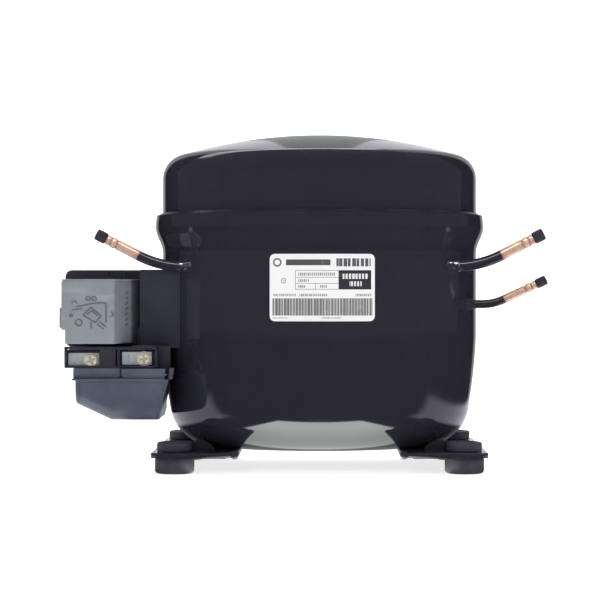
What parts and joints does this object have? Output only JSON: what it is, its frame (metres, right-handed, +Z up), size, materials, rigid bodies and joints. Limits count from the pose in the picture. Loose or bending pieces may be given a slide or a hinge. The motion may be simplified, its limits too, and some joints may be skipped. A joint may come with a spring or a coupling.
{
  "type": "hermetic reciprocating compressor",
  "caption": "Hermetic refrigeration compressor: oval welded housing on rubber feet, bent copper tubes, start gear on one end, sprung motor and piston pump inside",
  "frame": {"origin": "centre of the rectangle of four mounting holes, at the underside of the rubber feet", "axes": "+X to the right seen from the front, towards the suction and discharge tubes; +Y to the back, away from the label; +Z up"},
  "size_m": [0.2893, 0.157, 0.2015],
  "materials": {
    "shell_paint": "glossy black baked enamel",
    "weld_paint": "black enamel over a lap weld",
    "foot_paint": "glossy black enamel on sheet steel",
    "rubber": "moulded matt rubber",
    "zinc_steel": "zinc plated steel",
    "copper": "drawn copper, dulled",
    "plug_rubber": "black rubber plug",
    "label": null,
    "glass_bead": "fused glass",
    "phenolic": "black moulded plastic",
    "ptc": "dark ceramic disc",
    "grey_cover": "grey moulded plastic",
    "slate_cover": "dark slate moulded plastic",
    "brass": "bright brass",
    "cast_iron": "machined grey iron",
    "lamination": "stacked steel sheets",
    "enamel_wire": "enamelled copper wire",
    "wedge": "white insulating film",
    "spring_steel": "spring steel",
    "gasket": "fibre gasket",
    "nylon": "natural white plastic",
    "aluminium": "cast aluminium",
    "ground_steel": "ground steel"
  },
  "bodies": {
    "shell": {"lower_shell": "shell_paint", "upper_shell": "shell_paint", "seam_weld": "weld_paint", "foot_plate_left": "foot_paint", "foot_plate_right": "foot_paint", "grommets": "rubber", "grommet_sleeves": "zinc_steel", "suction_tube": "copper", "discharge_tube": "copper", "process_tube": "copper", "tube_collars": "weld_paint", "rating_label": "label", "terminal_cup": "zinc_steel", "terminal_glass": "glass_bead", "terminal_pins": "ground_steel", "box_bracket": "zinc_steel", "start_relay": "phenolic", "ptc_disc": "ptc", "overload_protector": "phenolic", "box_housing": "phenolic", "terminal_board": "phenolic", "clamp_plates": "zinc_steel", "terminal_screws": "brass", "lower_cover": "slate_cover", "cover_flap": "slate_cover", "lower_spring_seats": "zinc_steel", "lead_connector": "nylon"},
    "pump_unit": {"cylinder_block": "cast_iron", "stator_core": "lamination", "stator_windings": "enamel_wire", "slot_wedges": "wedge", "stator_bolts": "zinc_steel", "suspension_springs": "spring_steel", "upper_spring_seats": "zinc_steel", "thrust_washer": "brass", "cylinder_gasket": "gasket", "valve_plate": "ground_steel", "reed_stop": "ground_steel", "head_gasket": "gasket", "cylinder_head": "cast_iron", "head_bolts": "zinc_steel", "suction_muffler": "nylon", "discharge_muffler": "cast_iron", "discharge_loop": "copper", "motor_leads": "nylon"},
    "crank": {"crankshaft": "ground_steel", "rotor_core": "lamination", "rotor_rings": "aluminium", "oil_pickup": "zinc_steel"},
    "slide_block": {"slide_block": "brass"},
    "gallery_plug": {"gallery_plug": "ground_steel"},
    "piston": {"piston": "ground_steel"},
    "suction_reed": {"suction_reed": "spring_steel"},
    "discharge_reed": {"discharge_reed": "spring_steel"},
    "relay_cover": {"relay_cover": "grey_cover"},
    "suction_plug": {"suction_plug": "plug_rubber"},
    "discharge_plug": {"discharge_plug": "plug_rubber"},
    "process_plug": {"process_plug": "plug_rubber"}
  },
  "joints": [
    {"name": "pump_float", "type": "slide", "parent": "shell", "child": "pump_unit", "axis": [0, 0, 1], "range_m": [-0.002, 0.002], "stiffness_N_per_m": 30000, "springref_m": 0.00262, "deforming": ["suspension_springs"]},
    {"name": "crank_spin", "type": "hinge", "parent": "pump_unit", "child": "crank", "pos_m": [-0.012, 0, 0.1], "axis": [0, 0, 1], "continuous": true},
    {"name": "slide_block_turn", "type": "hinge", "parent": "crank", "child": "slide_block", "pos_m": [-0.004, 0, 0.162], "axis": [0, 0, 1], "continuous": true},
    {"name": "gallery_plug_turn", "type": "hinge", "parent": "crank", "child": "gallery_plug", "pos_m": [-0.008, 0, 0.165], "axis": [0, 0, 1], "continuous": true},
    {"name": "piston_travel", "type": "hinge", "parent": "gallery_plug", "child": "piston", "pos_m": [-0.004, 0, 0.162], "axis": [0, 0, 1], "continuous": true},
    {"name": "suction_reed_flex", "type": "hinge", "parent": "pump_unit", "child": "suction_reed", "pos_m": [0.04685, 0, 0.1705], "axis": [0, 1, 0], "range_deg": [0, 3], "stiffness_Nm_per_rad": 0.05},
    {"name": "discharge_reed_flex", "type": "hinge", "parent": "pump_unit", "child": "discharge_reed", "pos_m": [0.05055, 0, 0.157], "axis": [0, 1, 0], "range_deg": [0, 6], "stiffness_Nm_per_rad": 0.05},
    {"name": "cover_off", "type": "slide", "parent": "shell", "child": "relay_cover", "axis": [0, -1, 0], "range_m": [0, 0.045]},
    {"name": "suction_plug_pull", "type": "slide", "parent": "shell", "child": "suction_plug", "axis": [0.8715, -0.1853, 0.454], "range_m": [0, 0.012]},
    {"name": "discharge_plug_pull", "type": "slide", "parent": "shell", "child": "discharge_plug", "axis": [0.8865, -0.1884, 0.4226], "range_m": [0, 0.012]},
    {"name": "process_plug_pull", "type": "slide", "parent": "shell", "child": "process_plug", "axis": [-0.8715, -0.1853, 0.454], "range_m": [0, 0.012]}
  ],
  "couplings": [
    {"joint": "slide_block_turn", "follows": "crank_spin", "ratio": -1},
    {"joint": "gallery_plug_turn", "follows": "crank_spin", "ratio": -2},
    {"joint": "piston_travel", "follows": "crank_spin", "ratio": 1}
  ]
}
